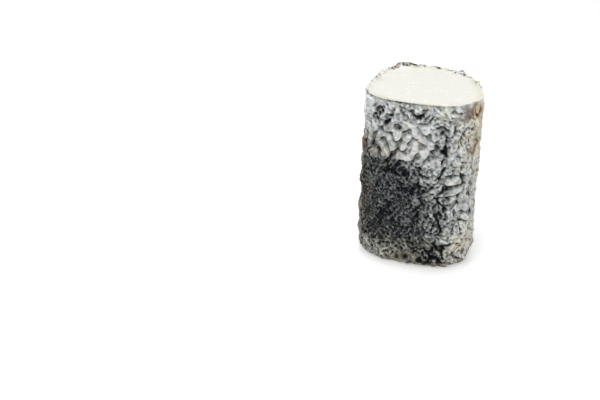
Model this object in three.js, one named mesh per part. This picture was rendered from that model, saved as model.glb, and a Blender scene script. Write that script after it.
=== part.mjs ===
// Half of an ash-rind goat's cheese log, standing on its own end with the knife cut uppermost.
// One solid: a soft-cornered, slightly egg-shaped column with a worn foot, a level cut and a chip in the rim.
// Millimetres, +Z up, origin at the middle of the foot. -Y is the front, +X the right.
import * as THREE from "three";

// Driving dimensions
const meanRadius = 26; // half the log's mean thickness
const height = 75.3; // foot to cut face
const footRound = 6; // radius of the worn edge round the foot
const taper = 0.026; // how much narrower the cut end is than the foot, as a share of the radius
const lean = THREE.MathUtils.degToRad(0.4); // the column leans this much towards +X
const cutSlope = THREE.MathUtils.degToRad(-0.5); // the knife ran down a little towards +X

// The section's soft corners: how many lobes, how far they stand out, and where the first one points.
const sectionLobes = [
  { lobes: 2, depth: 0.055, towards: THREE.MathUtils.degToRad(104) },
  { lobes: 3, depth: 0.053, towards: THREE.MathUtils.degToRad(86) },
  { lobes: 4, depth: 0.038, towards: THREE.MathUtils.degToRad(34) },
];

// Slow swellings of the hand-turned wall: turns round the log, waves up it, height and phase.
const swellings = [
  { round: 1, up: 1.5, depth: 0.3, phase: 0.4 },
  { round: 3, up: 2, depth: 0.2, phase: 2.1 },
  { round: 2, up: 3, depth: 0.15, phase: 4.0 },
];

// The chip in the rim, at the front right.
const chip = {
  towards: THREE.MathUtils.degToRad(-46),
  halfWidth: THREE.MathUtils.degToRad(12),
  below: 3.5, // its middle, under the cut
  halfHeight: 4,
  depth: 1.4,
};

const segmentsAround = 72;
const wallRows = 18;
const footArcPoints = 5;
const capRings = 3;

function sectionShare(angle) {
  return sectionLobes.reduce((share, lobe) => share + lobe.depth * Math.cos(lobe.lobes * (angle - lobe.towards)), 1);
}

function swellAt(angle, up) {
  const turn = 2 * Math.PI * (up / height);
  return swellings.reduce((sum, s) => sum + s.depth * Math.sin(s.round * angle + s.up * turn + s.phase), 0);
}

function chipAt(angle, up) {
  const away = Math.atan2(Math.sin(angle - chip.towards), Math.cos(angle - chip.towards)) / chip.halfWidth;
  const along = (up - (height - chip.below)) / chip.halfHeight;
  return chip.depth * Math.exp(-(away ** 2) - along ** 2);
}

// Half of the outline, from the middle of the foot, round its worn edge, up the wall and in over the cut.
function profile() {
  const points = [];
  const footRadius = meanRadius - footRound;
  for (let ring = 0; ring < capRings; ring++) points.push(new THREE.Vector2((footRadius * ring) / capRings, 0));
  for (let step = 0; step <= footArcPoints; step++) {
    const turn = (Math.PI / 2) * (step / footArcPoints);
    points.push(new THREE.Vector2(footRadius + footRound * Math.sin(turn), footRound * (1 - Math.cos(turn))));
  }
  for (let row = 1; row <= wallRows; row++) {
    points.push(new THREE.Vector2(meanRadius, footRound + (height - footRound) * (row / wallRows)));
  }
  for (let ring = capRings - 1; ring >= 0; ring--) {
    points.push(new THREE.Vector2((meanRadius * ring) / capRings, height));
  }
  return points;
}

// Turns the round column into the cheese: each point keeps its row, and its distance from the axis is reshaped.
function shapeColumn(geometry) {
  const place = geometry.getAttribute("position");
  for (let i = 0; i < place.count; i++) {
    const [x, y, up] = [place.getX(i), place.getY(i), place.getZ(i)];
    const angle = Math.atan2(y, x);
    const outwards = Math.hypot(x, y) / meanRadius; // 0 on the axis, 1 on the wall
    const wall = meanRadius * sectionShare(angle) * (1 + taper * (0.5 - up / height));
    const radius = outwards * (wall + swellAt(angle, up) - chipAt(angle, up));
    const across = radius * Math.cos(angle);
    place.setXYZ(
      i,
      across + up * Math.tan(lean),
      radius * Math.sin(angle),
      up + across * Math.tan(cutSlope) * (up / height),
    );
  }
  return geometry;
}

// Puts the foot on z = 0 with the origin at the middle of the whole outline.
function standOnOrigin(geometry) {
  geometry.computeBoundingBox();
  const { min, max } = geometry.boundingBox;
  return geometry.translate(-(min.x + max.x) / 2, -(min.y + max.y) / 2, -min.z);
}

function makeCheese() {
  const column = new THREE.LatheGeometry(profile(), segmentsAround).rotateX(Math.PI / 2);
  const geometry = standOnOrigin(shapeColumn(column));
  const rind = new THREE.MeshStandardMaterial({ color: 0x8f918d, roughness: 0.9, metalness: 0 });
  const cheese = new THREE.Mesh(geometry, rind);
  cheese.name = "cheese";
  return cheese;
}

const cheeseLogHalf = new THREE.Group();
cheeseLogHalf.add(makeCheese());

export default cheeseLogHalf;
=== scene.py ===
# Half of a soft goat's cheese log under a wrinkled rind of white mould and charcoal ash, standing on its end.
# Metres, +Z up and -Y the front, as in the CAD frame; sizes in the dictionaries are millimetres unless they
# say so. The rind is grown on the log's skin laid out flat. One way across it is the turn round the log, and
# the other is the run from the cut rim down the wall and in under the foot.
import math

import bpy
import numpy as np
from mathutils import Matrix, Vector
from mathutils.bvhtree import BVHTree


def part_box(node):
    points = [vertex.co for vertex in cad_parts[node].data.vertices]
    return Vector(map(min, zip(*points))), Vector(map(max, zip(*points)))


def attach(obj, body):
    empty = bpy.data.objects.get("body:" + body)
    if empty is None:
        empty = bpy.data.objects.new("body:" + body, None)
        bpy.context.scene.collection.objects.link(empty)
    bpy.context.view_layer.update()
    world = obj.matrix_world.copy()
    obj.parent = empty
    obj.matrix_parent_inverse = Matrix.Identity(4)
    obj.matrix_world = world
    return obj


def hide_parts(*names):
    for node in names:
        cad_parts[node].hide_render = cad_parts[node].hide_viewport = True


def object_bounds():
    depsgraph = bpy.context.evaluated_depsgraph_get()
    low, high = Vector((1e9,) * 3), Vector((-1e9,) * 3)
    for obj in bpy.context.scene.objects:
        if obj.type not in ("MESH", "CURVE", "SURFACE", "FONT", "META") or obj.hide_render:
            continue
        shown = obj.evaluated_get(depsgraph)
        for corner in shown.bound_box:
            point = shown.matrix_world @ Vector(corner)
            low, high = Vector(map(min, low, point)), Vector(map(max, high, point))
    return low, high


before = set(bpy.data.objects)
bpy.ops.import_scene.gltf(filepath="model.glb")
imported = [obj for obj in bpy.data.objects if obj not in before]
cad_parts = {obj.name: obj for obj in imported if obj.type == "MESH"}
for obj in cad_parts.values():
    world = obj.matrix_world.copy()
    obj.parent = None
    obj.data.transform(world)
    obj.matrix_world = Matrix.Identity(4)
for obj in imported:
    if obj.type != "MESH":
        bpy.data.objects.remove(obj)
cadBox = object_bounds()
mm = 0.001
print("frame loaded, box", cadBox)

log = {
    "columns": 480,  # mesh columns round the log, about 0.34 mm apart
    "wallStep": 0.34,  # between mesh rows down the wall
    "footStep": 0.8,  # between mesh rings under the foot
    "cutStep": 1.3,  # between mesh rings over the cut face
    "footRound": 6.0,  # worn edge round the foot, as the CAD has it
    "lip": 2.4,  # outermost strip of the cut face, where rind and curd meet
    "lipRings": 7,
    "castHeights": 22,
    "castColumns": 96,
    "castFrom": 80.0,  # the rays that read the CAD start this far out
    "castBelow": 1.2,  # the highest ring of them meets the wall this far under the cut
    "castShare": 0.9,  # the cut's height is read at this share of the radius
    "castHarmonics": 14,  # enough for the section and the chip, too few for the CAD's facets
}

skin = {"turnCells": 768, "runCells": 512}


def readLog():
    # Reads the wall's radius and the cut's height off the CAD solid, so the cheese keeps the frame's size.
    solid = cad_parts["cheese"].data
    tree = BVHTree.FromPolygons([v.co / mm for v in solid.vertices], [p.vertices for p in solid.polygons])
    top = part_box("cheese")[1][2] / mm
    angles = np.linspace(-math.pi, math.pi, log["castColumns"], endpoint=False)
    heights = np.linspace(log["footRound"], top - log["castBelow"], log["castHeights"])
    outside, innerShare = log["castFrom"], log["castShare"]
    radii = np.empty((len(heights), len(angles)))
    for row, height in enumerate(heights):
        for column, angle in enumerate(angles):
            out = Vector((math.cos(angle), math.sin(angle), 0))
            hit = tree.ray_cast(out * outside + Vector((0, 0, height)), -out)[0]
            radii[row, column] = math.hypot(hit.x, hit.y)
    cutHeights = np.empty(len(angles))
    for column, angle in enumerate(angles):
        share = innerShare * radii[-1, column]
        above = Vector((share * math.cos(angle), share * math.sin(angle), outside * 2))
        cutHeights[column] = tree.ray_cast(above, Vector((0, 0, -1)))[0].z
    centreHeight = tree.ray_cast(Vector((0, 0, outside * 2)), Vector((0, 0, -1)))[0].z
    rimHeights = centreHeight + (cutHeights - centreHeight) / innerShare
    return heights, resampleRound(radii), resampleRound(rimHeights[None, :])[0], centreHeight


def resampleRound(rows):
    # Carries evenly spaced samples round the log onto the mesh columns, keeping the slow harmonics only.
    spectrum = np.fft.rfft(rows, axis=-1)
    spectrum[:, log["castHarmonics"]:] = 0
    wide = np.zeros((rows.shape[0], log["columns"] // 2 + 1), complex)
    wide[:, : spectrum.shape[1]] = spectrum
    return np.fft.irfft(wide, log["columns"], axis=-1) * log["columns"] / rows.shape[1]


castHeights, castRadii, rimHeights, cutCentre = readLog()
meanRadius = castRadii.mean()
turnLength = 2 * math.pi * meanRadius
cell = turnLength / skin["turnCells"]
wallLength = cutCentre - log["footRound"]
edgeLength = log["footRound"] * math.pi / 2
print(f"column read: mean radius {meanRadius:.2f} mm, cut at {cutCentre:.2f} mm")

# The skin laid out flat: how far round the log and how far down from the rim every cell lies, in millimetres.
skinTurn = np.arange(skin["turnCells"])[None, :] * cell + np.zeros((skin["runCells"], 1))
skinRun = np.arange(skin["runCells"])[:, None] * cell + np.zeros((1, skin["turnCells"]))
turnWaves = np.fft.rfftfreq(skin["turnCells"], cell)[None, :]
runWaves = np.fft.fftfreq(skin["runCells"], cell)[:, None]
waves = np.hypot(turnWaves, runWaves)


def filtered(field, response):
    return np.fft.irfft2(np.fft.rfft2(field) * response, s=field.shape)


def ringOf(spacing, spread=0.4, along=0.0):
    # Lets through waves near one spacing. Above 0, along favours folds that run round the log, below 0 up it.
    ring = np.exp(-((np.log(np.maximum(waves * spacing, 1e-6)) / spread) ** 2))
    upright = np.divide(runWaves**2, waves**2, out=np.full(waves.shape, 0.5), where=waves > 0)
    return ring * np.clip(1 + along * (2 * upright - 1), 0, None)


def noiseOf(spacing, seed, spread=0.5, along=0.0):
    white = np.random.default_rng(seed).standard_normal(skinTurn.shape)
    field = filtered(white, ringOf(spacing, spread, along))
    return field / field.std()


def smoothStep(low, high, value):
    share = np.clip((value - low) / (high - low), 0, 1)
    return share * share * (3 - 2 * share)


# Patches of mould have ragged edges, so their places wander this far; a hole wanders less.
wander = {"spacing": 8.0, "reach": 1.1, "holeShare": 0.3}
wanderTurn = wander["reach"] * noiseOf(wander["spacing"], 11)
wanderRun = wander["reach"] * noiseOf(wander["spacing"], 12)
skinHeight = cutCentre - skinRun


def turnTo(angle, wobble):
    # How far round the log each cell lies from an angle in degrees, in millimetres either way.
    turn = (math.radians(angle) + math.pi) * meanRadius
    return (skinTurn + wobble - turn + turnLength / 2) % turnLength - turnLength / 2


def patches(spots, firmness):
    # Soft-edged spots on the skin, added up; the firmer, the flatter inside and the steeper at the edge.
    total = np.zeros(skinTurn.shape)
    for angle, height, wide, tall, strength in spots:
        across = turnTo(angle, wanderTurn) / wide
        up = (skinHeight + wanderRun - height) / tall
        total = total + strength * np.exp(-((across**2 + up**2) ** firmness))
    return total


# What grew where: (degrees round from +X, height, half width, half height, strength). -90 is the front.
growth = {
    "mould": [  # above 0 thicker pale mould than usual, below 0 more bare ash
        (-129, 33, 17, 18.5, -0.34),
        (-132, 47, 14, 4.5, -0.16),
        (-104, 46, 9, 4, -0.14),
        (-100, 31, 9, 15, -0.18),
        (-80, 29, 9, 17, -0.2),
        (-67, 24, 5, 9, -0.12),
        (-115, 18, 16, 5, -0.14),
        (-125, 10, 24, 7, -0.2),
        (-93, 12, 7, 6, -0.1),
        (-75, 8, 6, 5.5, -0.24),
        (-120, 68, 12, 6, -0.04),
        (-158, 66, 12, 9, 0.24),
        (-148, 73, 9, 3, 0.14),
        (-78, 60, 8, 4, 0.07),
        (-110, 55, 16, 5, 0.05),
        (-145, 55, 8, 4, -0.14),
        (-97, 57, 8, 9, 0.24),
        (-115, 56, 9, 7, 0.08),
        (-40, 42, 14, 28, 0.12),
        (-25, 50, 12, 26, 0.14),
        (-100, 70, 22, 5, 0.06),
        (-40, 12, 11, 8, 0.2),
        (-18, 66, 9, 12, 0.2),
        (-24, 72, 8, 6, 0.4),
        (-170, 70, 9, 8, 0.2),
        (-166, 34, 5, 26, 0.14),
        (-49, 71, 6, 3, 0.08),
        (-65, 66, 4, 4, 0.12),
        (-135, 72, 4, 3, 0.14),
        (-84, 36, 4, 4, 0.12),
        (-103, 29, 7, 6, 0.08),
        (-50, 41, 6, 5, -0.07),
        (-20, 30, 6, 5, -0.1),
        (-141, 18, 7, 5, -0.07),
        (-107, 57, 3.5, 5, -0.12),
        (-28, 73, 4, 3, 0.2),
        (90, 76, 48, 2.4, 0.26),
        (150, 75.5, 4, 2.0, 0.2),
        (46, 75.5, 4, 2.0, 0.2),
        (70, 30, 18, 17, -0.4),
        (110, 56, 12, 9, -0.2),
        (40, 58, 13, 9, 0.16),
        (10, 28, 14, 20, 0.1),
        (130, 18, 14, 12, 0.12),
        (165, 48, 12, 9, 0.2),
        (170, 18, 10, 10, -0.16),
    ],
    "cream": [  # yellowish skin showing through
        (-107, 57, 15, 8, 0.1),
        (-128, 52, 8, 3.5, 0.35),
        (-125, 46, 3, 3, 0.3),
        (-30, 46, 12, 28, 0.2),
        (-44, 62, 8, 12, 0.35),
        (-42, 12, 12, 8, 0.5),
        (-34.5, 71, 0.9, 3.5, 1.0),
        (-24, 58, 9, 20, 0.28),
        (-108, 11, 18, 7, 0.4),
        (-98, 5, 10, 3.5, 0.6),
        (150, 75, 5, 2, 0.5),
        (46, 75, 5, 2, 0.5),
        (14, 75, 7, 2.5, 0.8),
        (-78, 73.6, 14, 1.6, 0.3),
        (20, 60, 14, 9, 0.5),
        (120, 38, 10, 12, 0.5),
        (95, 74, 20, 2, 0.4),
    ],
    "brown": [  # dried, darker skin
        (-158, 53, 8, 5, 0.7),
        (-160, 28, 13, 24, 0.7),
        (-45, 72.4, 3.2, 2.8, 0.7),
        (-51, 70.4, 3.6, 2.2, 0.7),
        (-58, 68.2, 2.6, 1.2, 0.6),
        (-37.5, 71.3, 0.7, 3.2, 1.0),
        (-34.8, 70.5, 0.7, 3.2, 0.3),
        (-95, 0.6, 26, 1.0, 0.8),
        (-40, 2.5, 16, 2.4, 0.6),
        (116, 75, 5, 3.0, 0.9),
        (64, 74.5, 3, 1.5, 0.6),
        (90, 8, 10, 4, 0.4),
    ],
}

# Where the rind is chipped or rubbed and has no folds: (degrees, height, half width, half height, strength).
rubbed = [
    (-44, 73, 3.8, 3.2, 1.0),
    (-50, 71, 4.0, 2.8, 1.0),
    (-57, 68.6, 3.2, 1.8, 0.9),
    (-100, 1.0, 60, 1.5, 0.7),
    (-41, 55.5, 3.6, 4.2, 1.0),
    (-98, 5, 8, 2.6, 0.8),
    (-38, 9, 6, 3, 0.6),
    (-26, 60, 3, 12, 0.4),
]

# Holes in the rind with a dried brown brim: (degrees, height, half width, half height, depth).
holes = [
    (-41, 55.5, 2.5, 3.2, 1.2),
    (24, 44, 2.2, 2.8, 0.9),
    (132, 28, 2.6, 2.0, 0.8),
]

# Pools and blots where the ash lies bare, the higher the blacker.
pools = [
    (-37.2, 71, 0.6, 2.6, 0.4),
    (-52, 68.4, 3.0, 0.5, 0.4),
    (-88, 38.4, 5.0, 0.35, 0.35),
    (-88, 36.3, 4.0, 0.35, 0.4),
    (-87, 34.6, 3.6, 0.35, 0.3),
    (-20, 15, 1.0, 2.0, 0.9),
    (-22, 10.5, 1.4, 1.6, 0.9),
    (-26, 6.5, 1.6, 1.2, 0.8),
    (-32, 4.2, 1.8, 0.9, 0.8),
    (-40, 3.4, 2.0, 1.1, 0.6),
    (-108, 4.5, 1.8, 1.2, 0.8),
    (-136, 68, 2.8, 3.0, 0.75),
    (-125, 69.2, 2.4, 1.5, 0.7),
    (-124, 65.5, 2.4, 1.5, 0.7),
    (-102, 71.2, 2.0, 1.1, 0.85),
    (-94, 71, 3.4, 1.6, 0.7),
    (-83, 68.8, 2.0, 1.1, 0.65),
    (-76, 64, 1.9, 1.7, 0.5),
    (-70, 65, 1.2, 1.0, 0.9),
    (-75, 58, 1.9, 1.9, 0.7),
    (-150, 52.5, 2.6, 1.2, 0.6),
    (-118, 44.5, 2.2, 1.4, 0.5),
    (-108, 44, 1.6, 1.2, 0.4),
    (-120, 25, 2.4, 1.8, 0.4),
    (-95, 37, 5.0, 1.4, 0.25),
    (-68, 32, 1.6, 2.2, 0.35),
    (-68, 24, 1.2, 2.4, 0.35),
    (-46, 23, 3.2, 0.9, 0.6),
    (-66, 12.5, 2.2, 1.7, 0.8),
    (-76, 10.5, 3.0, 1.8, 0.4),
    (-71, 4.6, 3.2, 2.4, 1.0),
    (-97, 3.8, 1.8, 1.6, 0.7),
    (-50, 6.2, 2.4, 1.2, 0.5),
    (-82, 5.5, 2.8, 2.0, 0.6),
    (117, 75, 3.0, 1.6, 0.25),
    (111, 74.6, 1.5, 1.6, 1.0),
    (103, 74.8, 1.5, 1.4, 1.0),
    (93, 75, 2.2, 1.0, 0.35),
    (80, 75, 2.2, 0.9, 0.7),
    (130, 74.8, 0.8, 1.0, 0.7),
    (167, 75, 0.6, 1.0, 0.6),
    (64, 75, 2.0, 0.9, 0.5),
    (43, 75, 0.9, 0.9, 1.2),
    (8, 64, 2.4, 2.0, 0.5),
    (30, 22, 2.6, 2.0, 0.7),
    (85, 66, 3.0, 1.6, 0.5),
    (140, 12, 3.4, 2.2, 0.8),
    (175, 36, 2.4, 2.6, 0.5),
]

# Creases down the wall: (degrees, lowest, highest, half width, strength).
creases = [
    (-70, 19, 62, 0.45, 1.0),
    (-88.5, 20, 50, 0.4, 0.4),
    (-55, 22, 66, 0.4, 0.5),
    (-41, 12, 58, 0.4, 0.35),
    (-5, 16, 60, 0.45, 0.6),
    (48, 10, 48, 0.45, 0.6),
    (100, 24, 62, 0.45, 0.5),
    (152, 14, 60, 0.45, 0.6),
]

# How the drying skin folds: plates are fat rounded lobes, loops run round the log under the rim, ladders
# stand between the creases, and under bare ash the skin is finely puckered. Two sets of ridges cross each
# other, a wide one and a close one. Lift sets how fat the folds are, height how far the fat parts stand out,
# ridge how proud the ridges are and width how broad, hem how much mould grows on them, gap how much of it is
# missing in the hollows, and paintedShade how much painted shade darkens the strip under a ridge.
folds = {
    "seed": 5,
    "rounds": 2,
    "gain": 1.4,
    "spread": 0.36,
    "overhang": 0.75,  # how far below a ridge the painted shade strip lies
    "sag": 0.45,  # how far a fold hangs down, as a share of how far it stands out
    "habits": {
        "plates": {"wide": 4.8, "close": 5.0, "along": 0.0, "lift": 0.09, "height": 0.55, "ridge": 0.06,
                   "hem": 0.04, "gap": 0.12, "width": 0.5, "paintedShade": 0.65},
        "loops": {"wide": 5.0, "close": 3.4, "along": 0.1, "lift": 0.05, "height": 0.35, "ridge": 0.5,
                  "hem": 0.62, "gap": 0.1, "width": 0.34, "paintedShade": 0.18},
        "ladders": {"wide": 3.9, "close": 2.7, "along": -0.25, "lift": 0.05, "height": 0.3, "ridge": 0.42,
                    "hem": 0.52, "gap": 0.17, "width": 0.36, "paintedShade": 0.3},
        "puckers": {"wide": 5.4, "close": 3.4, "along": 0.0, "lift": 0.0, "height": 0.08, "ridge": 0.34,
                    "hem": 0.2, "gap": 0.02, "width": 0.36, "paintedShade": 0.16},
    },
    "poolDrag": 1.6,  # a pool of ash keeps the skin from folding outwards
    "creaseDrag": 2.0,  # and so does a crease
    "fineSpacing": 2.0,
    "footSpacing": 4.0,
    "footLift": 0.4,
    "footHeight": 0.55,
    "footWorn": 0.4,  # how much lower the folds are round the foot's edge
}

# Where each habit holds; ladders take what is left.
territory = {
    "plates": [
        (-107, 57, 17, 8.5, 1.0),
        (-58, 40, 5, 6, 1.0),
        (-45, 28, 4, 5, 0.8),
        (40, 58, 13, 9, 1.0),
        (168, 50, 12, 9, 1.0),
    ],
    "loops": [
        (-108, 70, 26, 6, 1.0),
        (-155, 66, 12, 9, 0.7),
        (60, 70, 20, 5, 1.0),
        (150, 68, 16, 6, 0.9),
    ],
    "puckers": [
        (-122, 31, 19, 20, 1.0),
        (70, 30, 18, 17, 1.0),
        (-100, 14, 14, 7, 0.6),
    ],
}

# How firm each kind of patch is.
firmness = {"growth": 1.5, "pools": 1.4, "rubbed": 2, "territory": 2}


def shareOut():
    plates, loops, puckers = (
        np.clip(patches(territory[name], firmness["territory"]), 0, 1)
        for name in ("plates", "loops", "puckers")
    )
    loops = loops * (1 - plates)
    puckers = puckers * (1 - plates) * (1 - loops)
    return {"plates": plates, "loops": loops, "puckers": puckers, "ladders": 1 - plates - loops - puckers}


# A crease wanders sideways, is broken here and there, and fades out at its ends.
creaseHabit = {
    "wander": 0.6,
    "wanderSpacing": 8.0,
    "gapSpacing": 6.0,
    "along": 0.8,
    "fadeOut": 3,  # it is lost this far beyond its end
    "fadeIn": 2,  # and whole this far within it
}


def creaseField():
    field = np.zeros(skinTurn.shape)
    beyond, within = creaseHabit["fadeOut"], creaseHabit["fadeIn"]
    for index, (angle, lowest, highest, width, strength) in enumerate(creases):
        across = turnTo(angle, creaseHabit["wander"] * noiseOf(creaseHabit["wanderSpacing"], 40 + index))
        started = smoothStep(lowest - beyond, lowest + within, skinHeight)
        ended = smoothStep(highest - within, highest + beyond, skinHeight)
        gaps = noiseOf(creaseHabit["gapSpacing"], 60 + index, along=creaseHabit["along"])
        line = np.exp(-((across / width) ** 2))
        field = field + strength * started * (1 - ended) * smoothStep(-1.4, 0.2, gaps) * line
    return np.clip(field, 0, 1)


shares = shareOut()
mouldPatches, creamPatches, brownPatches = (
    patches(growth[name], firmness["growth"]) for name in ("mould", "cream", "brown")
)
poolPatches, creaseLines = patches(pools, firmness["pools"]), creaseField()
print("growth laid out")


def growFolds(seed, habits, bias):
    # The drying skin buckles: each round keeps the waves that suit the place and sharpens them into folds.
    field = np.random.default_rng(seed).standard_normal(skinTurn.shape)
    for _ in range(folds["rounds"]):
        spectrum = np.fft.rfft2(field)
        pushed = np.zeros(field.shape)
        for (spacing, along), share in habits:
            band = np.fft.irfft2(spectrum * ringOf(spacing, folds["spread"], along), s=field.shape)
            pushed = pushed + share * band / band.std()
        field = np.tanh(folds["gain"] * pushed + bias)
    return pushed


def byHabit(key):
    return sum(habit[key] * shares[name] for name, habit in folds["habits"].items())


def foldWall():
    habits = folds["habits"].items()
    wideHabits = [((habit["wide"], habit["along"]), shares[name]) for name, habit in habits]
    closeHabits = [((habit["close"], habit["along"]), shares[name]) for name, habit in habits]
    lift = byHabit("lift") - folds["poolDrag"] * poolPatches - folds["creaseDrag"] * creaseLines
    wide = growFolds(folds["seed"], wideHabits, lift) + lift
    close = growFolds(folds["seed"] + 1, closeHabits, 0.0)
    fine = growFolds(folds["seed"] + 2, [((folds["fineSpacing"], 0.0), 1.0)], 0.0)
    return wide, close, fine


wallFolds, closeFolds, fineFolds = foldWall()
footLift = folds["footLift"]
footFolds = growFolds(folds["seed"] + 3, [((folds["footSpacing"], 0.0), 1.0)], footLift) + footLift
print("folds grown")


def distanceTo(field, level, flattest=0.3):
    # How far, in millimetres, a cell lies from where the field crosses a level. Where the field is nearly
    # flat, its slope is taken as a share of the mean.
    down = (np.roll(field, -1, 0) - np.roll(field, 1, 0)) / (2 * cell)
    across = (np.roll(field, -1, 1) - np.roll(field, 1, 1)) / (2 * cell)
    slope = np.hypot(down, across)
    return np.abs(field - level) / np.maximum(slope, flattest * slope.mean())


ridgeHabit = {
    "level": 0.15,  # of the wide folds, where the ridge runs
    "weakened": 0.6,  # the wide ridges keep the rest where they are lost
    "puckersWhole": 0.8,  # the fine puckers are hardly broken at all
    "closeStrength": 0.9,
    "closeWidth": 0.85,  # of the wide ridge's
    "beadSpacing": 2.0,
    "beadStrength": 0.35,  # the ridges swell and thin along their length by this much
    "beadWidth": 0.3,
    "leastWidth": 0.8,
}


def raiseRidges():
    # Thin raised lines along the folds' edges, beaded along their length, here strong and there lost.
    broken = 1 - ridgeHabit["puckersWhole"] * shares["puckers"]
    wideStrength = 1 - ridgeHabit["weakened"] * broken * smoothStep(0.8, -1.0, noiseOf(3.4, 71))
    closeStrength = ridgeHabit["closeStrength"] * (1 - broken * smoothStep(0.8, -1.2, noiseOf(3.0, 72)))
    closeStrength = closeStrength * (1 - shares["plates"])
    beads = smoothStep(-0.7, 0.7, noiseOf(ridgeHabit["beadSpacing"], 73))
    beaded = 1 - ridgeHabit["beadStrength"] + ridgeHabit["beadStrength"] * beads
    width = byHabit("width") * (ridgeHabit["leastWidth"] + ridgeHabit["beadWidth"] * beads)
    closeWidth = ridgeHabit["closeWidth"] * width
    wide = np.exp(-((distanceTo(wallFolds, ridgeHabit["level"]) / width) ** 2)) * wideStrength * beaded
    close = np.exp(-((distanceTo(closeFolds, 0.0) / closeWidth) ** 2)) * closeStrength * beaded
    return np.maximum(wide, close) * folded


# The knife smears the rind just under the cut, and rubbed places have lost their folds.
rim = {
    "smear": 1.6,  # the knife flattens the folds this far under the cut
    "pressed": 0.75,  # by this share
    "rise": 0.45,  # the torn rind stands this proud at the back
    "riseDepth": 2.5,  # and the wall is drawn up with it this far down
    "ragSpacing": 6.0,
    "thickness": 1.0,  # of the rind in the cut, at the back
    "frontThickness": 0.3,
    "thicknessSpacing": 2.2,  # it comes and goes along the rim
    "lumps": [  # folds of rind pushed over the edge: (degrees, half width, rise)
        (149, 3.4, 1.3),
        (116, 3.0, 1.5),
        (106, 3.0, 1.1),
        (93, 2.4, 0.4),
        (46, 3.6, 1.3),
        (12, 3.0, 0.5),
    ],
}
folded = smoothStep(0.1, rim["smear"], skinRun) * (1 - np.clip(patches(rubbed, firmness["rubbed"]), 0, 1))
ridges = raiseRidges()

# Plates are lobes with a crease here and there, and under each lobe's lower edge lies a dark crescent of
# painted shadow.
plateHabit = {
    "steepness": 3.2,  # of the lobes' sides
    "overhang": 0.55,  # how far below a lobe its painted shadow crescent lies
    "shade": 1.4,
    "grooveLevel": 1.4,
    "grooveWidth": 0.3,
    "pitsFilled": 0.6,  # lobes have fewer pits than the folds round them
}
lobes = 0.5 + 0.5 * np.tanh(plateHabit["steepness"] * wallFolds)
# lobeShade is painted shadow, a dark crescent just under each lobe's lower edge.
lobeShade = np.clip(np.roll(lobes, round(plateHabit["overhang"] / cell), axis=0) - lobes, 0, 1)
lobeShade = lobeShade * shares["plates"] * folded
grooves = np.exp(-distanceTo(closeFolds, plateHabit["grooveLevel"]) / plateHabit["grooveWidth"])
grooves = grooves * shares["plates"] * folded
# paintedShade is painted shade: the strip just under each ridge is darkened, and in the plates the lobes'
# painted shadow crescents take its place.
paintedShade = np.clip(np.roll(ridges, round(folds["overhang"] / cell), axis=0) - 1.2 * ridges, 0, 1)
paintedShade = np.maximum(paintedShade * (1 - shares["plates"]), plateHabit["shade"] * lobeShade)
pits = smoothStep(1.0, 1.8, -fineFolds - 0.3 * wallFolds) * folded
pits = pits * (1 - plateHabit["pitsFilled"] * shares["plates"])

# Across a hole, as shares of its half width: the pale floor, the wall from bottom to top, and the brim.
holeShape = {"floor": (0.5, 0.9), "wall": (0.55, 1.05), "brim": 0.95, "brimWidth": 0.15}


def sinkHoles():
    # How deep the holes are, the dried brim round each and the pale floor in it.
    depth, brim, bottom = (np.zeros(skinTurn.shape) for _ in range(3))
    for angle, height, wide, tall, deep in holes:
        across = turnTo(angle, wander["holeShare"] * wanderTurn) / wide
        away = np.hypot(across, (skinHeight + wander["holeShare"] * wanderRun - height) / tall)
        depth = depth + deep * (1 - smoothStep(*holeShape["wall"], away))
        brim = brim + np.exp(-(((away - holeShape["brim"]) / holeShape["brimWidth"]) ** 2))
        bottom = bottom + 1 - smoothStep(*holeShape["floor"], away)
    return depth, brim, bottom


holeDepth, holeBrim, holeFloor = sinkHoles()

# How far each thing stands out of the skin or sinks into it.
relief = {
    "slow": 0.3,
    "slowSpacing": 11.0,
    "grit": 0.02,
    "gritSpacing": 1.1,
    "fine": 0.1,
    "pit": 0.2,
    "pool": 0.3,
    "crease": 0.8,
    "groove": 0.35,
    "brim": 0.25,
    "unfolded": 0.3,  # share of the swell that smeared and rubbed places keep
    "platesPlain": 0.7,  # how much smoother the plates are than the rest
}


def wallRelief():
    swell = np.tanh(1.1 * wallFolds) * (1 - shares["plates"]) + (2 * lobes - 1) * shares["plates"]
    kept = relief["unfolded"] + (1 - relief["unfolded"]) * folded
    field = byHabit("height") * swell * kept + byHabit("ridge") * ridges
    crumbs = np.tanh(fineFolds) * (1 - relief["platesPlain"] * shares["plates"]) * folded
    field = field + relief["fine"] * crumbs - relief["pit"] * pits
    field = field + relief["slow"] * noiseOf(relief["slowSpacing"], 21)
    field = field + relief["grit"] * noiseOf(relief["gritSpacing"], 22)
    field = field - relief["groove"] * grooves - holeDepth + relief["brim"] * holeBrim
    return field - relief["pool"] * poolPatches - relief["crease"] * creaseLines


def footRelief():
    return folds["footHeight"] * (np.tanh(1.2 * footFolds) - 1.0)


# How much mould there is on plain skin, and how much each thing adds or takes away.
cover = {
    "usual": 0.61,
    "mottle": 0.07,
    "mottleSpacing": 6.0,
    "drift": 0.04,
    "driftSpacing": 11.0,
    "speck": 0.03,
    "speckSpacing": 1.2,
    "pit": 0.26,
    "pool": 0.6,
    "crease": 0.75,
    "groove": 0.2,
    "edge": 0.3,
    "edgeDepth": (0.4, 1.0),  # how far under the rim the knife drags ash, at the right and at the left
    "edgeStrength": (0.4, 1.2),
    "lobe": 0.36,
    "crumb": 0.09,
    "brim": 0.12,
    "floor": 0.15,
    "ashCalm": 0.5,  # under bare ash every contrast is weaker, down to this share
    "platesPlain": 0.7,  # plates have fewer crumbs
    "puckersPlain": 0.5,  # and puckers less mottle and fewer crumbs
    "puckersDrift": 0.6,
}


# How warm or brown the skin is beside the patches listed above. The lobeShade entry browns the painted shadow
# crescents under the lobes.
tint = {"drift": 0.1, "driftSpacing": 7.0, "floor": 0.5, "groove": 0.3, "lobeShade": 0.6}


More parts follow.
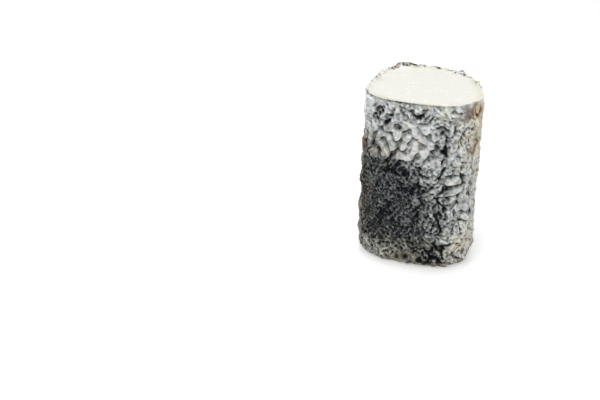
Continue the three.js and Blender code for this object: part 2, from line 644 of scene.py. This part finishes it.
def rimAsh():
    # The knife drags ash along the front of the rim, most of it at the left, where it went in.
    angles = skinTurn / meanRadius - math.pi
    front = smoothStep(-0.1, -0.5, np.sin(angles)) * (0.5 - 0.5 * np.cos(angles))
    leftward = 1 - smoothStep(-110, -80, np.degrees(angles))
    depth, strength = (
        low + (high - low) * leftward for low, high in (cover["edgeDepth"], cover["edgeStrength"])
    )
    return front * strength * np.exp(-((skinRun / depth) ** 2)) * smoothStep(-0.6, 0.9, noiseOf(4.0, 37))


def wallLayers():
    # How much of each covering lies on every cell. Cover runs from 0, bare soot, to 1, thick white mould, and
    # also carries painted shade under the ridges and lobes.
    plates, puckers = shares["plates"], shares["puckers"]
    swept = 0.4 + 1.2 * smoothStep(-0.4, 1.2, noiseOf(4.0, 75))  # some hollows are barer than others
    hollow = folded * (1 - smoothStep(-1.1, 0.2, wallFolds)) * swept
    field = cover["usual"] + mouldPatches
    swing = cover["ashCalm"] + (1 - cover["ashCalm"]) * smoothStep(-0.1, 0.5, field)
    # Ridges gain mould, hollows lose it, and paintedShade darkens the strip under each ridge and lobe with
    # painted shade.
    grown = byHabit("hem") * ridges - byHabit("gap") * hollow - byHabit("paintedShade") * paintedShade
    crumbs = np.tanh(1.5 * fineFolds) * folded
    crumbs = crumbs * (1 - cover["platesPlain"] * plates) * (1 - cover["puckersPlain"] * puckers)
    field = field + swing * (grown - cover["pit"] * pits + cover["crumb"] * crumbs)
    field = field + cover["lobe"] * (lobes - 0.5) * plates
    mottle = cover["mottle"] * noiseOf(cover["mottleSpacing"], 31)
    field = field + (1 - cover["puckersPlain"] * puckers) * mottle
    field = field + cover["speck"] * noiseOf(cover["speckSpacing"], 32)
    drift = cover["drift"] * noiseOf(cover["driftSpacing"], 38)
    field = field + (1 - cover["puckersDrift"] * puckers) * drift
    field = field - cover["pool"] * poolPatches - cover["crease"] * creaseLines
    field = field - cover["groove"] * grooves**1.5 - cover["edge"] * rimAsh()
    field = field - cover["brim"] * holeBrim + cover["floor"] * holeFloor
    warm = creamPatches + tint["drift"] * noiseOf(tint["driftSpacing"], 33) + tint["floor"] * holeFloor
    # The lobes' painted shadow crescents are browned as well.
    brown = brownPatches + tint["groove"] * grooves + tint["lobeShade"] * lobeShade + holeBrim
    return {
        "cover": np.clip(field, 0, 1),
        "warm": np.clip(warm, 0, 1),
        "brown": np.clip(brown, 0, 1),
        "folded": folded * (0.5 - 0.3 * plates + 0.6 * puckers),  # how strong the finest furrows are
    }


# The foot has lain on a board: it is pressed flat, cream, and brown in the hollows.
footSkin = {
    "usual": 0.72,
    "gap": 0.25,
    "mottle": 0.06,
    "speck": 0.03,
    "warm": 0.8,
    "brown": 0.35,
    "furrows": 0.5,
}


def footLayers():
    gap = 1 - smoothStep(-0.9, 0.2, footFolds)
    mottle = footSkin["mottle"] * noiseOf(cover["mottleSpacing"], 34)
    speck = footSkin["speck"] * noiseOf(cover["speckSpacing"], 35)
    warm = footSkin["warm"] + tint["drift"] * noiseOf(tint["driftSpacing"], 36)
    return {
        "cover": np.clip(footSkin["usual"] - footSkin["gap"] * gap + mottle + speck, 0, 1),
        "warm": np.clip(warm, 0, 1),
        "brown": np.clip(footSkin["brown"] * gap, 0, 1),
        "folded": np.full(gap.shape, footSkin["furrows"]),
    }


def skinAt(field, turn, run):
    # The field's value at any place on the skin, between the four nearest cells.
    column, row = turn / cell, run / cell
    c0, r0 = np.floor(column).astype(int), np.floor(row).astype(int)
    right, below = column - c0, row - r0
    c1, r1 = (c0 + 1) % skin["turnCells"], (r0 + 1) % skin["runCells"]
    c0, r0 = c0 % skin["turnCells"], r0 % skin["runCells"]
    upper = field[r0, c0] * (1 - right) + field[r0, c1] * right
    lower = field[r1, c0] * (1 - right) + field[r1, c1] * right
    return upper * (1 - below) + lower * below


def wallRows():
    # From the rim down to the middle of the foot: run, how far in from the wall, height, which way is out
    # as a part outwards and a part upwards, and the share of the radius.
    count = round(wallLength / log["wallStep"])
    edge = round(edgeLength / log["wallStep"])
    footRadius = meanRadius - log["footRound"]
    rings = round(footRadius / log["footStep"])
    rows = [(wallLength * i / count, 0.0, wallLength * (1 - i / count) + log["footRound"], 1.0, 0.0, 1.0)
            for i in range(count + 1)]
    for i in range(1, edge + 1):
        turn = math.pi / 2 * i / edge
        inward = log["footRound"] * (1 - math.cos(turn))
        height = log["footRound"] * (1 - math.sin(turn))
        run = wallLength + edgeLength * i / edge
        rows.append((run, inward, height, math.cos(turn), -math.sin(turn), 1.0))
    for i in range(1, rings):
        share = 1 - i / rings
        run = wallLength + edgeLength + footRadius * (1 - share)
        rows.append((run, log["footRound"], 0.0, 0.0, -1.0, share))
    return np.array(rows)


def shapeWall():
    rows = wallRows()
    run, inward, height, outPart, upPart, share = (rows[:, i:i + 1] for i in range(6))
    angles = np.linspace(-math.pi, math.pi, log["columns"], endpoint=False)[None, :]
    stretch = rimHeights[None, :] / cutCentre  # rows slope with the cut at the top and are level at the foot
    levels = height * (1 + (stretch - 1) * height / cutCentre)
    base = np.empty((len(rows), log["columns"]))
    for column in range(log["columns"]):
        base[:, column] = np.interp(height[:, 0], castHeights, castRadii[:, column])
    radius = (base - inward) * share
    x, y = radius * np.cos(angles), radius * np.sin(angles)
    # Outwards in plan is square to the section, not away from the axis.
    growing = np.gradient(np.concatenate([base[:, -1:], base, base[:, :1]], 1), axis=1)[:, 1:-1]
    growing = growing / (2 * math.pi / log["columns"]) / base
    facing = angles - np.arctan(growing)
    normal = np.stack([outPart * np.cos(facing), outPart * np.sin(facing), upPart + 0 * facing], -1)
    place = np.stack([x, y, levels + 0 * x], -1)
    turn = (angles + math.pi) * meanRadius + 0 * run
    return place, normal, turn, run + 0 * turn


wallPlace, wallNormal, wallTurn, wallRun = shapeWall()
# 0 on the wall, 1 under the foot
under = smoothStep(wallLength + 1.0, wallLength + edgeLength + 1.0, wallRun)
layerFields, footLayerFields = wallLayers(), footLayers()


def onSkin(wallField, footField):
    # The field at every mesh point: the wall's goes round the log, and the foot's lies flat under it.
    wall = skinAt(wallField, wallTurn, wallRun)
    foot = skinAt(footField, wallPlace[..., 0] + meanRadius, wallPlace[..., 1] + meanRadius)
    return wall * (1 - under) + foot * under


def shapeRim():
    # The knife presses the front edge flat and tears the far one, where it leaves the cheese.
    angles = wallTurn[0] / meanRadius - math.pi
    back = smoothStep(-0.35, 0.25, np.sin(angles))
    ragged = skinAt(noiseOf(rim["ragSpacing"], 51), wallTurn[0], np.full(log["columns"], 3.0))
    lumps = np.zeros(log["columns"])
    for angle, wide, rise in rim["lumps"]:
        away = (wallTurn[0] - (math.radians(angle) + math.pi) * meanRadius) / wide
        lumps = lumps + rise * np.exp(-(away**2))
    return back * np.clip(1 + 0.5 * ragged, 0, 2) * rim["rise"] + lumps, back, lumps


rimRise, rimBack, rimLumps = shapeRim()


def displaceWall():
    height = onSkin(wallRelief(), footRelief())
    pressed = 1 - smoothStep(0, rim["smear"], wallRun)
    worn = smoothStep(wallLength, wallLength + edgeLength, wallRun)
    height = height * (1 - rim["pressed"] * pressed) * (1 - folds["footWorn"] * worn)
    height = np.where(wallRun > wallLength + edgeLength, np.minimum(height, 0), height)
    place = wallPlace + wallNormal * height[..., None]
    place[..., 2] -= folds["sag"] * height * (1 - under) * smoothStep(0.3, 2.0, wallRun)
    place[..., 2] = np.maximum(place[..., 2], 0)
    place[..., 2] += rimRise[None, :] * (1 - smoothStep(0, rim["riseDepth"], wallRun))
    return place


wallPoints = displaceWall()
print("wall shaped:", wallPoints.shape)


def shapeCut():
    # Rings from the rim in to the middle of the cut face; only the lip follows the rind's folds and tears.
    rimPoints = wallPoints[0]
    lipDepths = np.linspace(0, log["lip"], log["lipRings"] + 1)[1:]
    inner = meanRadius - log["lip"]
    count = round(inner / log["cutStep"])
    depths = np.concatenate([lipDepths, log["lip"] + inner * np.arange(1, count) / count])
    share = 1 - depths[:, None] / meanRadius
    plane = cutCentre + (rimHeights[None, :] - cutCentre) * share
    proud = rimPoints[None, :, 2] - rimHeights[None, :]
    reach = depths[:, None] / (1 + rimLumps[None, :])  # a tall lump is drawn further in
    height = plane + proud * (1 - smoothStep(0.2, 1.5, reach))
    x, y = rimPoints[None, :, 0] * share, rimPoints[None, :, 1] * share
    return np.stack([x, y, height], -1), np.repeat(depths[:, None], log["columns"], axis=1)


cutPoints, cutDepth = shapeCut()


def buildMesh():
    columns = log["columns"]
    rowsOfPoints = np.concatenate([cutPoints[::-1], wallPoints])
    rowCount = rowsOfPoints.shape[0]
    cutRows = cutPoints.shape[0]
    vertices = np.concatenate([rowsOfPoints.reshape(-1, 3), [[0, 0, cutCentre], [0, 0, 0]]]) * mm
    grid = np.arange(rowCount * columns).reshape(rowCount, columns)
    beside = np.roll(grid, -1, axis=1)
    quads = np.stack([grid[:-1], grid[1:], beside[1:], beside[:-1]], -1).reshape(-1, 4)
    topPole, footPole = rowCount * columns, rowCount * columns + 1
    topFan = [(topPole, int(a), int(b)) for a, b in zip(grid[0], beside[0])]
    footFan = [(footPole, int(b), int(a)) for a, b in zip(grid[-1], beside[-1])]
    mesh = bpy.data.meshes.new("cheese_half")
    mesh.from_pydata(vertices.tolist(), [], quads.tolist() + topFan + footFan)
    mesh.shade_smooth()
    return mesh, cutRows, rowCount


cheeseMesh, cutRowCount, rowCount = buildMesh()
print("mesh built:", len(cheeseMesh.vertices), "points")


def storeLayer(name, cutValues, wallValues, topValue, footValue):
    values = np.concatenate([cutValues[::-1].ravel(), wallValues.ravel(), [topValue, footValue]])
    layer = cheeseMesh.attributes.new(name, "FLOAT", "POINT")
    layer.data.foreach_set("value", values.astype(np.float32))


# The curd ripens from the rind inwards, furthest at the sides. Where it has gone less far, depth counts more.
ripening = {"sides": 1.1, "front": 0.5, "back": 0.35}


def storeLayers():
    cutTurn = np.repeat(wallTurn[:1], cutPoints.shape[0], axis=0)
    for name in ("cover", "warm", "brown", "folded"):
        values = onSkin(layerFields[name], footLayerFields[name])
        cutValues = skinAt(layerFields[name], cutTurn, 1.0 + cutDepth)
        storeLayer(name, cutValues, values, 0.0, values[-1].mean())
    # The rind shows in the cut as a thin ring of uneven width, and inside it the curd starts.
    edgeNoise = skinAt(noiseOf(rim["thicknessSpacing"], 61, 0.7), cutTurn, cutDepth + 5)
    backThickness = rim["thickness"] * np.clip(0.8 + 0.4 * edgeNoise, 0, 1.5)
    thickness = rim["frontThickness"] + rimBack[None, :] * backThickness + rimLumps
    curd = smoothStep(0, 0.35, cutDepth - thickness)
    storeLayer("curd", curd, np.zeros(wallTurn.shape), 1.0, 0.0)
    # How deep into the cut face a point lies, in millimetres; 0 on the rind.
    backward = np.sin(cutTurn / meanRadius - math.pi)
    ripened = ripening["sides"] - ripening["front"] * np.clip(-backward, 0, 1) ** 2
    ripened = ripened - ripening["back"] * np.clip(backward, 0, 1) ** 2
    storeLayer("depth", cutDepth / ripened, np.zeros(wallTurn.shape), meanRadius, 0.0)


storeLayers()


def markRim():
    # The knife's edge stays crisp.
    columns = log["columns"]
    first = cutRowCount * columns
    sharp = np.zeros(len(cheeseMesh.edges), bool)
    ends = np.empty(len(cheeseMesh.edges) * 2, int)
    cheeseMesh.edges.foreach_get("vertices", ends)
    ends = ends.reshape(-1, 2)
    onRim = (ends >= first) & (ends < first + columns)
    sharp[onRim.all(axis=1)] = True
    cheeseMesh.attributes.new("sharp_edge", "BOOLEAN", "EDGE").data.foreach_set("value", sharp)


markRim()


# A flat map for the baked finish, as shares of its side: the wall unrolled below, and the two discs above it.
flatMap = {"margin": 0.01, "wallTop": 0.48, "cutMiddle": 0.25, "footMiddle": 0.75, "discHeight": 0.745,
           "discWidth": 0.49, "discReach": 62.0}  # reach in mm, with room round the cheese


def layOutMap():
    columns, wallStart = log["columns"], cutRowCount
    corners = np.empty(len(cheeseMesh.loops), int)
    cheeseMesh.loops.foreach_get("vertex_index", corners)
    sizes = np.empty(len(cheeseMesh.polygons), int)
    cheeseMesh.polygons.foreach_get("loop_total", sizes)
    faceOf = np.repeat(np.arange(len(sizes)), sizes)
    count = (rowCount - 1) * columns
    faceRow = np.where(faceOf < count, faceOf // columns, np.where(faceOf < count + columns, -1, rowCount))
    faceColumn = np.where(faceOf < count, faceOf % columns, (faceOf - count) % columns)
    points = np.empty(len(cheeseMesh.vertices) * 3)
    cheeseMesh.vertices.foreach_get("co", points)
    points = points.reshape(-1, 3)[corners] / mm
    row, column = corners // columns, corners % columns
    column = np.where((column == 0) & (faceColumn == columns - 1), columns, column)
    edgeRow = wallStart + np.argmin(np.abs(wallRun[:, 0] - wallLength - edgeLength))
    onWall = (faceRow >= wallStart) & (faceRow < edgeRow)
    onCut = faceRow < wallStart
    margin, discScale = flatMap["margin"], flatMap["discWidth"] / flatMap["discReach"]
    upWall = 1 - np.clip(row - wallStart, 0, edgeRow - wallStart) / (edgeRow - wallStart)
    wallU = margin + (1 - 2 * margin) * column / columns
    wallV = margin + (flatMap["wallTop"] - margin) * upWall
    discU = np.where(onCut, flatMap["cutMiddle"], flatMap["footMiddle"]) + points[:, 0] * discScale
    discV = flatMap["discHeight"] + points[:, 1] * discScale
    flat = np.stack([np.where(onWall, wallU, discU), np.where(onWall, wallV, discV)], -1)
    cheeseMesh.uv_layers.new(name="OFBake").data.foreach_set("uv", flat.ravel().astype(np.float32))


layOutMap()


def fromHex(code):
    channels = [int(code[i:i + 2], 16) / 255 for i in (1, 3, 5)]
    linear = [c / 12.92 if c <= 0.04045 else ((c + 0.055) / 1.055) ** 2.4 for c in channels]
    return (*linear, 1.0)


def addNode(tree, kind, settings, inputs):
    node = tree.nodes.new(kind)
    for name, value in settings.items():
        setattr(node, name, value)
    for socket, value in inputs.items():
        if isinstance(value, bpy.types.NodeSocket):
            tree.links.new(value, node.inputs[socket])
        else:
            node.inputs[socket].default_value = value
    return node


def newMaterial(name):
    material = bpy.data.materials.new(name)
    material.use_nodes = True
    material.node_tree.nodes.clear()
    return material, material.node_tree


mixColour = {"data_type": "RGBA"}
tintColour = {"data_type": "RGBA", "blend_type": "MULTIPLY"}
easedRange = {"interpolation_type": "SMOOTHSTEP"}

# Bloomy mould over charcoal ash on drained goat's curd, salted, dusted and ripened in a damp cellar.
# It gives the eye a dry, matt, chalky edge on every fold, and soot-black or slate-blue valleys between.
rindFinish = {
    "growth": [  # from bare soot, through thin ash and thin mould, to thick mould
        (0.0, "#090a0b"),
        (0.16, "#313538"),
        (0.36, "#737776"),
        (0.55, "#a1a5a3"),
        (0.78, "#cfd4d4"),
        (1.0, "#f4f6f6"),
    ],
    "creamTint": "#fdedc8",
    "brownTint": "#b0907a",
    "roughness": 0.85,
    "ior": 1.45,
    "gloss": 0.12,  # powder and hyphae scatter nearly all of the reflection
    "clump": 0.9,  # mm, tufts of mould
    "clumpGrowth": 0.07,  # how much thicker or thinner the mould is with them
    "clumpHeight": 0.25,
    "wrinkle": 1.8,  # mm, the finest furrows
    "bend": 1.2,  # mm, how far they wander
    "wrinkleWidth": (0.02, 0.22),  # of a furrow, from its floor to its shoulder, as a share of the spacing
    "wrinkleGrowth": (-0.13, 0.04),  # mould missing on the floor and added on the shoulder
    "wrinkleHeight": 1.6,
    "fuzz": 0.3,  # mm, drawn coarser than real hyphae, which are too fine to show
    "fuzzHeight": 0.12,
}


def bloomyAshRind():
    material, tree = newMaterial("bloomy_ash_rind_cellar_ripened")
    place = addNode(tree, "ShaderNodeTexCoord", {}, {}).outputs["Object"]
    layer = {
        name: addNode(tree, "ShaderNodeAttribute", {"attribute_name": name}, {}).outputs["Fac"]
        for name in ("cover", "warm", "brown", "folded", "curd")
    }
    clump = addNode(tree, "ShaderNodeTexNoise", {}, {
        "Vector": place, "Scale": 1 / (rindFinish["clump"] * mm), "Detail": 3.0, "Roughness": 0.6,
    }).outputs["Fac"]
    fuzz = addNode(tree, "ShaderNodeTexNoise", {}, {
        "Vector": place, "Scale": 1 / (rindFinish["fuzz"] * mm), "Detail": 2.0, "Roughness": 0.6,
    }).outputs["Fac"]
    tufts = addNode(tree, "ShaderNodeMapRange", {"clamp": False}, {
        "Value": clump, "To Min": -rindFinish["clumpGrowth"], "To Max": rindFinish["clumpGrowth"],
    }).outputs[0]
    bent = addNode(tree, "ShaderNodeTexNoise", {"normalize": False}, {
        "Vector": place, "Scale": 1 / (rindFinish["wrinkle"] * mm), "Detail": 1.0,
    }).outputs["Color"]
    swept = addNode(tree, "ShaderNodeVectorMath", {"operation": "MULTIPLY_ADD"}, {
        0: bent, 1: (rindFinish["bend"] * mm,) * 3, 2: place,
    }).outputs[0]
    furrow = addNode(tree, "ShaderNodeTexVoronoi", {"feature": "DISTANCE_TO_EDGE"}, {
        "Vector": swept, "Scale": 1 / (rindFinish["wrinkle"] * mm),
    }).outputs["Distance"]
    (floor, shoulder), (missing, added) = rindFinish["wrinkleWidth"], rindFinish["wrinkleGrowth"]
    wrinkles = addNode(tree, "ShaderNodeMapRange", easedRange, {
        "Value": furrow, "From Min": floor, "From Max": shoulder, "To Min": missing, "To Max": added,
    }).outputs[0]
    smooth = addNode(tree, "ShaderNodeMath", {"operation": "ADD"}, {0: layer["cover"], 1: tufts}).outputs[0]
    wrinkled = addNode(tree, "ShaderNodeMath", {"operation": "MULTIPLY_ADD"}, {
        0: wrinkles, 1: layer["folded"], 2: smooth,
    }).outputs[0]
    stages = addNode(tree, "ShaderNodeValToRGB", {}, {"Fac": wrinkled})
    ramp = stages.color_ramp
    for position, code in rindFinish["growth"][1:-1]:
        ramp.elements.new(position)
    for element, (position, code) in zip(ramp.elements, rindFinish["growth"]):
        element.position = position
        element.color = fromHex(code)
    creamed = addNode(tree, "ShaderNodeMix", tintColour, {
        0: layer["warm"], 6: stages.outputs["Color"], 7: fromHex(rindFinish["creamTint"]),
    }).outputs[2]
    browned = addNode(tree, "ShaderNodeMix", tintColour, {
        0: layer["brown"], 6: creamed, 7: fromHex(rindFinish["brownTint"]),
    }).outputs[2]
    withCurd = addNode(tree, "ShaderNodeMix", mixColour, {
        0: layer["curd"], 6: browned, 7: curdTone(tree, place, curdGrain(tree, place)),
    }).outputs[2]
    fuzzBump = addNode(tree, "ShaderNodeBump", {}, {
        "Height": fuzz, "Strength": 0.5, "Distance": rindFinish["fuzzHeight"] * mm,
    })
    furrowBump = addNode(tree, "ShaderNodeBump", {}, {
        "Height": wrinkles, "Strength": 0.5, "Distance": rindFinish["wrinkleHeight"] * mm,
        "Normal": fuzzBump.outputs[0],
    })
    clumpBump = addNode(tree, "ShaderNodeBump", {}, {
        "Height": clump, "Strength": 0.4, "Distance": rindFinish["clumpHeight"] * mm,
        "Normal": furrowBump.outputs[0],
    })
    surface = addNode(tree, "ShaderNodeBsdfPrincipled", {}, {
        "Base Color": withCurd, "Roughness": rindFinish["roughness"], "IOR": rindFinish["ior"],
        "Specular IOR Level": rindFinish["gloss"], "Normal": clumpBump.outputs[0],
    })
    addNode(tree, "ShaderNodeOutputMaterial", {}, {"Surface": surface.outputs[0]})
    return material


# Lactic goat's curd, ladled, drained and cut with a wet knife while it is moist.
# It gives the eye a close, chalk-white face with a soft inner glow, yellower by the rind where it is ripe.
curdFinish = {
    "core": "#e9e8e0",
    "underRind": "#ddd8c4",
    "ripeDepth": (5.5, 12.0),  # mm, where the yellower curd ends, counted with its drift
    "drift": 14.0,  # mm, how far that edge and the freckles' wander
    "driftSpacing": 6,
    "ochre": "#e3d3a4",  # freckles near the rind
    "freckleDepth": (6.6, 5.4),
    "fleck": "#fffef2",  # pale flecks further in
    "fleckSpacing": 2.6,
    "fleckShare": (0.59, 0.67),  # the noise between which flecks fade in; the higher, the fewer
    "roughness": 0.5,
    "ior": 1.42,
    "grain": 1.1,  # mm, curd grains
    "grainHeight": 0.2,
    "glow": 0.2,
    "glowRadius": (1.0, 0.9, 0.75),  # red goes furthest into the curd
    "glowDepth": 2,
}


def curdTone(tree, place, grain):
    # Yellower and freckled near the rind, whiter with pale flecks further in.
    depth = addNode(tree, "ShaderNodeAttribute", {"attribute_name": "depth"}, {}).outputs["Fac"]
    drift = addNode(tree, "ShaderNodeTexNoise", {}, {
        "Vector": place, "Scale": 1 / (curdFinish["driftSpacing"] * mm), "Detail": 4.0, "Roughness": 0.65,
    }).outputs["Fac"]
    driftDepth, freckleDepth = (
        addNode(tree, "ShaderNodeMath", {"operation": "MULTIPLY_ADD"}, {
            0: noise, 1: curdFinish["drift"], 2: depth,
        }).outputs[0]
        for noise in (drift, grain)
    )
    spots = addNode(tree, "ShaderNodeTexNoise", {}, {
        "Vector": place, "Scale": 1 / (curdFinish["fleckSpacing"] * mm), "Detail": 3.0, "Roughness": 0.7,
    }).outputs["Fac"]
    tone = fromHex(curdFinish["underRind"])
    for value, (start, end), colour in (
        (driftDepth, curdFinish["ripeDepth"], curdFinish["core"]),
        (freckleDepth, curdFinish["freckleDepth"], curdFinish["ochre"]),
        (spots, curdFinish["fleckShare"], curdFinish["fleck"]),
    ):
        share = addNode(tree, "ShaderNodeMapRange", easedRange, {
            "Value": value, "From Min": start, "From Max": end,
        }).outputs[0]
        tone = addNode(tree, "ShaderNodeMix", mixColour, {0: share, 6: tone, 7: fromHex(colour)}).outputs[2]
    return tone


def curdGrain(tree, place):
    return addNode(tree, "ShaderNodeTexNoise", {}, {
        "Vector": place, "Scale": 1 / (curdFinish["grain"] * mm), "Detail": 4.0, "Roughness": 0.6,
    }).outputs["Fac"]


def freshCutCurd():
    material, tree = newMaterial("lactic_goat_curd_knife_cut")
    place = addNode(tree, "ShaderNodeTexCoord", {}, {}).outputs["Object"]
    grain = curdGrain(tree, place)
    grainBump = addNode(tree, "ShaderNodeBump", {}, {
        "Height": grain, "Strength": 0.35, "Distance": curdFinish["grainHeight"] * mm,
    })
    surface = addNode(tree, "ShaderNodeBsdfPrincipled", {}, {
        "Base Color": curdTone(tree, place, grain),
        "Roughness": curdFinish["roughness"], "IOR": curdFinish["ior"],
        "Subsurface Weight": curdFinish["glow"], "Subsurface Radius": curdFinish["glowRadius"],
        "Subsurface Scale": curdFinish["glowDepth"] * mm, "Normal": grainBump.outputs[0],
    })
    addNode(tree, "ShaderNodeOutputMaterial", {}, {"Surface": surface.outputs[0]})
    return material


def finishCheese():
    # Rind all over, and curd inside the lip of the cut face.
    cheese = bpy.data.objects.new("cheese_half", cheeseMesh)
    bpy.context.scene.collection.objects.link(cheese)
    cheeseMesh.materials.append(bloomyAshRind())
    cheeseMesh.materials.append(freshCutCurd())
    faceSlots = np.zeros(len(cheeseMesh.polygons), np.int32)
    innerRows = cutRowCount - log["lipRings"]
    faceSlots[: innerRows * log["columns"]] = 1
    quadCount = (rowCount - 1) * log["columns"]
    faceSlots[quadCount: quadCount + log["columns"]] = 1
    cheeseMesh.polygons.foreach_set("material_index", faceSlots)
    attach(cheese, "root")
    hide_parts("cheese")


finishCheese()
print("cheese finished")

# A sheet of matt opal acrylic under the cheese, lit from below, and white cotton hung all round it.
# They give the eye plain white, with only the darkest of the shadow showing. Reach and height are in metres.
stage = {"reach": 0.95, "hung": 1.2, "segments": 96, "white": "#ededed", "floorGlow": 0.3, "clothGlow": 1.0}


def addStage(name, points, faces, materialName, glow):
    mesh = bpy.data.meshes.new(name)
    mesh.from_pydata(points, [], faces)
    thing = bpy.data.objects.new(name, mesh)
    bpy.context.scene.collection.objects.link(thing)
    thing.visible_diffuse = False  # the cheese is lit by the lamps and the room, not by the glow
    material, tree = newMaterial(materialName)
    surface = addNode(tree, "ShaderNodeBsdfPrincipled", {}, {
        "Base Color": fromHex(stage["white"]), "Roughness": 1.0, "Specular IOR Level": 0.0,
        "Emission Color": (1, 1, 1, 1), "Emission Strength": glow,
    })
    addNode(tree, "ShaderNodeOutputMaterial", {}, {"Surface": surface.outputs[0]})
    mesh.materials.append(material)
    return thing


def setStage():
    reach, level, count = stage["reach"], cadBox[0][2], stage["segments"]
    turns = [2 * math.pi * i / count for i in range(count)]
    foot = [(reach * math.cos(turn), reach * math.sin(turn), level) for turn in turns]
    top = [(x, y, level + stage["hung"]) for x, y, _ in foot]
    addStage("floor", foot, [list(range(count))], "opal_acrylic_sheet_matt_sawn", stage["floorGlow"])
    walls = [(i, (i + 1) % count, (i + 1) % count + count, i + count) for i in range(count)]
    cloth = addStage("backdrop", foot + top, walls, "white_cotton_cloth_hung", stage["clothGlow"])
    cloth.visible_glossy = False
    cloth.visible_shadow = False  # the room's light comes through it


setStage()

# Soft boxes round the cheese: where each stands (metres), its side (metres) and its power (watts).
lamps = {
    "top": {"place": (-0.08, 0.1, 1.1), "size": 0.4, "power": 3.9},
    "front": {"place": (-0.2, -0.75, 0.72), "size": 0.7, "power": 5.2},
    "right": {"place": (0.75, -0.2, 0.4), "size": 0.9, "power": 1.9},
    "left": {"place": (-0.75, -0.1, 0.4), "size": 0.9, "power": 0.8},
}
room = {"colour": "#ffffff", "strength": 0.42}


def hangLamps():
    middle = Vector((0, 0, cutCentre * mm / 2))
    for name, lamp in lamps.items():
        data = bpy.data.lights.new(name, "AREA")
        data.shape = "SQUARE"
        data.size = lamp["size"]
        data.energy = lamp["power"]
        light = bpy.data.objects.new(name, data)
        light.location = lamp["place"]
        light.rotation_euler = (middle - light.location).to_track_quat("-Z", "Y").to_euler()
        bpy.context.scene.collection.objects.link(light)
    world = bpy.data.worlds.new("studio")
    world.use_nodes = True
    sky = world.node_tree.nodes["Background"]
    sky.inputs["Color"].default_value = fromHex(room["colour"])
    sky.inputs["Strength"].default_value = room["strength"]
    bpy.context.scene.world = world


hangLamps()

# Where the viewer stands: millimetres from the middle of the foot, degrees down and to the left, lens in mm.
viewer = {"place": (0.27, -358.73, 190.56), "down": 25.55, "left": 8.5, "lens": 52.24, "sensor": 36.0}


def placeCamera():
    data = bpy.data.cameras.new("viewer")
    data.lens = viewer["lens"]
    data.sensor_width = viewer["sensor"]
    data.clip_start = 0.01
    camera = bpy.data.objects.new("viewer", data)
    footMiddle = Vector(((cadBox[0][0] + cadBox[1][0]) / 2, (cadBox[0][1] + cadBox[1][1]) / 2, cadBox[0][2]))
    camera.location = footMiddle + Vector(viewer["place"]) * mm
    camera.rotation_euler = (math.radians(90 - viewer["down"]), 0, math.radians(viewer["left"]))
    bpy.context.scene.collection.objects.link(camera)
    bpy.context.scene.camera = camera


placeCamera()
bpy.context.scene.view_settings.view_transform = "Standard"


print("scene ready")
